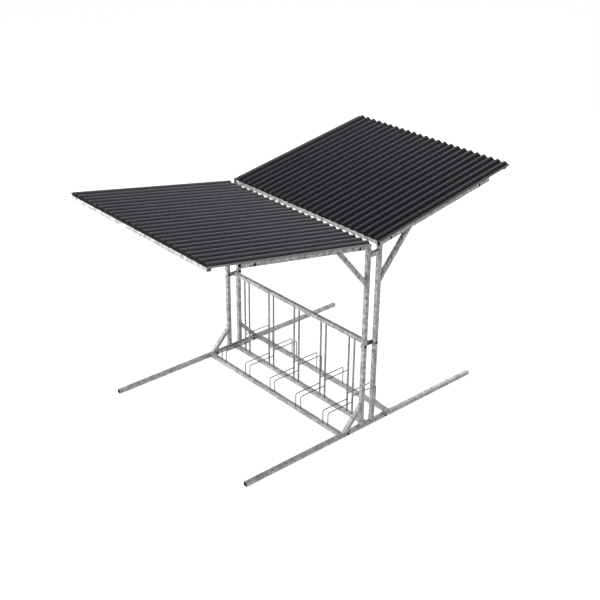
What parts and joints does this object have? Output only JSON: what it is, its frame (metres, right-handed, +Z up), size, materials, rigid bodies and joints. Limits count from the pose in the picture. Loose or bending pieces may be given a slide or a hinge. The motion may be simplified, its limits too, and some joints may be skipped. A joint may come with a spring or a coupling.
{
  "type": "bike shelter",
  "caption": "Free-standing two-sided bicycle rack of galvanised square tube under an open butterfly roof of dark corrugated sheets.",
  "frame": {"origin": "on the ground at the middle of the shelter, midway between the end frames and between the two rows of wheels", "axes": "+X along the rack towards the near end frame, +Y across it towards the back row of wheels, +Z up"},
  "size_m": [2.325, 4.0596, 2.516],
  "materials": {
    "galvanised_tube": "hot-dip galvanised, matt spangle",
    "galvanised_rack": "hot-dip galvanised, matt",
    "roof_sheet": "charcoal corrugated bitumen fibre, satin"
  },
  "bodies": {
    "root": {"centre_rail": "galvanised_tube", "crossbar_far": "galvanised_tube", "crossbar_near": "galvanised_tube", "edge_tube_back": "galvanised_tube", "edge_tube_front": "galvanised_tube", "foot_brace_far_back": "galvanised_tube", "foot_brace_far_front": "galvanised_tube", "foot_brace_near_back": "galvanised_tube", "foot_brace_near_front": "galvanised_tube", "ground_beam_far": "galvanised_tube", "ground_beam_near": "galvanised_tube", "inner_purlin_back": "galvanised_tube", "inner_purlin_front": "galvanised_tube", "low_rail_back": "galvanised_tube", "low_rail_front": "galvanised_tube", "outer_purlin_back": "galvanised_tube", "outer_purlin_front": "galvanised_tube", "post_far_back": "galvanised_tube", "post_far_front": "galvanised_tube", "post_near_back": "galvanised_tube", "post_near_front": "galvanised_tube", "rafter_far_back": "galvanised_tube", "rafter_far_front": "galvanised_tube", "rafter_near_back": "galvanised_tube", "rafter_near_front": "galvanised_tube", "roof_brace_far_back": "galvanised_tube", "roof_brace_far_front": "galvanised_tube", "roof_brace_near_back": "galvanised_tube", "roof_brace_near_front": "galvanised_tube", "roof_sheet_back": "roof_sheet", "roof_sheet_front": "roof_sheet", "top_rail": "galvanised_tube", "valley_purlin_back": "galvanised_tube", "valley_purlin_front": "galvanised_tube", "wheel_hoops_back": "galvanised_rack", "wheel_hoops_front": "galvanised_rack", "wheel_uprights_1": "galvanised_rack", "wheel_uprights_2": "galvanised_rack", "wheel_uprights_3": "galvanised_rack", "wheel_uprights_4": "galvanised_rack", "wheel_uprights_5": "galvanised_rack"}
  },
  "joints": []
}
